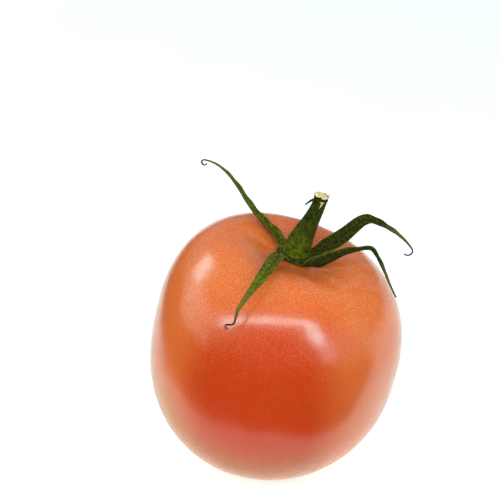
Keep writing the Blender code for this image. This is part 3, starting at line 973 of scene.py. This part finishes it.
def torn_look():
    """Cream, fibrous tissue with brown hollows and a dark green rim where the stem's skin clings to it."""
    look = Look("torn_tissue", Specular_IOR_Level=0.3)
    colour = look.mix(look.ramp(look.noise(0.7, 4.0, 0.65), 0.36, 0.60),
                      linear(150, 98, 52), linear(255, 222, 172))
    drift = look.math("MULTIPLY", look.math("SUBTRACT", look.noise(0.8, 3.0), 0.5), 1.4)
    rim = look.math("ADD", look.value_on_points("rim"), drift)
    colour = look.mix(look.ramp(rim, 0.40, 0.60), colour, linear(44, 50, 16))
    normal = look.bump(look.noise(0.35, 4.0, 0.7), 0.2)
    return look.finish(Base_Color=colour, Roughness=0.8, Normal=normal)


def hair_look():
    """Fine pale hairs."""
    look = Look("pale_hair", Specular_IOR_Level=0.2, Roughness=0.5)
    colour = look.mix(look.noise(2.0, 2.0), linear(84, 90, 34), linear(128, 130, 68))
    return look.finish(Base_Color=colour)


def floor_look():
    """A pale floor that glows a little, as on a light table, and more in a painted pool of light right of the
    fruit.
    """
    look = Look("pale_floor", Specular_IOR_Level=0.0)
    look.shader.inputs["Emission Color"].default_value = (*FLOOR_TINT, 1.0)
    # Painted light: a round pool of extra glow on the floor, right of the fruit
    away = look.vector("DISTANCE", look.place, (*PAINTED_LIGHT_POOL_CENTRE, 0.0))
    glow = look.math("ADD", look.ramp(away, PAINTED_LIGHT_POOL_REACH, 0.0, 0.0, PAINTED_LIGHT_POOL), FLOOR_GLOW)
    colour = look.mix(look.noise(40.0, 2.0), linear(219, 219, 219), linear(225, 225, 225))
    return look.finish(Base_Color=colour, Roughness=0.9, Emission_Strength=glow)


def dress(piece, node, material):
    """Gives a piece its material, hangs it on the root body and hides the frame's node that it stands for."""
    piece.data.materials.append(material)
    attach(piece, "root")
    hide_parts(node)
    return piece


def build_tomato():
    dress(make_skin(), "fruit", skin_look())
    leaf = leaf_look()
    blades = [dress(make_sepal(sepal, 1.3 * number), "calyx", leaf)
              for number, sepal in enumerate(SEPALS)]
    plate = dress(make_plate(), "calyx", plate_look())
    stalk = dress(make_stem(), "stem", stalk_look())
    dress(make_flap(), "stem", stalk.data.materials[0])
    torn = torn_look()
    dress(make_torn_end(), "stem_end", torn)
    dress(make_tongue(), "stem_end", torn)
    hair = hair_look()
    dress(make_hairs("calyx_hairs", blades + [plate], CALYX_HAIRS, seed=5), "calyx", hair)
    dress(make_hairs("stem_hairs", [stalk], STEM_HAIRS, seed=9), "stem", hair)


def hang_lamp(lamp):
    """Places a lamp in its direction from the fruit's middle."""
    flat = math.radians(lamp.azimuth)
    up = math.radians(lamp.elevation)
    towards = Vector((math.cos(up) * math.cos(flat), math.cos(up) * math.sin(flat), math.sin(up)))
    data = bpy.data.lights.new(lamp.name, "AREA")
    data.shape = "RECTANGLE"
    data.size = lamp.width
    data.size_y = lamp.height
    data.energy = lamp.radiance * math.pi * lamp.width * lamp.height
    data.color = (lamp.red, 1.0, 1.0)
    made = bpy.data.objects.new(lamp.name, data)
    bpy.context.scene.collection.objects.link(made)
    made.location = Vector(LAMP_AIM) + towards * LAMP_DISTANCE
    made.rotation_mode = "QUATERNION"
    facing = towards.to_track_quat("Z", "Y")
    made.rotation_quaternion = facing @ Matrix.Rotation(math.radians(lamp.turn), 3, "Z").to_quaternion()
    made.visible_camera = False


def light_world():
    """White past the floor for the camera, and a soft sky that is dark below the horizon for the object."""
    world = bpy.data.worlds.new("studio")
    world.use_nodes = True
    tree = world.node_tree
    background = tree.nodes["Background"]
    direction = tree.nodes.new("ShaderNodeTexCoord").outputs["Generated"]
    split = tree.nodes.new("ShaderNodeSeparateXYZ")
    tree.links.new(direction, split.inputs[0])
    sky = tree.nodes.new("ShaderNodeMapRange")
    sky.inputs["From Min"].default_value = HORIZON_DARK
    sky.inputs["From Max"].default_value = HORIZON_LIT
    sky.inputs["To Min"].default_value = BELOW_RADIANCE
    sky.inputs["To Max"].default_value = SKY_RADIANCE
    tree.links.new(split.outputs[2], sky.inputs["Value"])
    seen = tree.nodes.new("ShaderNodeMix")
    tree.links.new(tree.nodes.new("ShaderNodeLightPath").outputs["Is Camera Ray"], seen.inputs[0])
    tree.links.new(sky.outputs[0], seen.inputs[2])
    seen.inputs[3].default_value = BACKDROP_RADIANCE
    tree.links.new(seen.outputs[0], background.inputs["Strength"])
    background.inputs["Color"].default_value = WHITE
    bpy.context.scene.world = world


def lay_floor():
    """A flat floor just under the resting spot."""
    mesh = bpy.data.meshes.new("floor")
    mesh.from_pydata([(x, y, FLOOR_LEVEL) for x, y in FLOOR_EDGE], [], [tuple(range(len(FLOOR_EDGE)))])
    floor = bpy.data.objects.new("floor", mesh)
    bpy.context.scene.collection.objects.link(floor)
    floor.data.materials.append(floor_look())


def place_camera():
    data = bpy.data.cameras.new("camera")
    data.sensor_width = CAMERA_SENSOR
    data.lens = CAMERA_LENS
    data.clip_start = 0.01
    data.clip_end = 20.0
    camera = bpy.data.objects.new("camera", data)
    bpy.context.scene.collection.objects.link(camera)
    camera.location = CAMERA_PLACE
    camera.rotation_euler = (math.radians(90 - CAMERA_DOWN), 0.0, 0.0)
    bpy.context.scene.camera = camera


def build_stage():
    place_camera()
    lay_floor()
    light_world()
    for lamp in LAMPS:
        hang_lamp(lamp)
    bpy.context.scene.view_settings.view_transform = "Standard"


build_tomato()
build_stage()
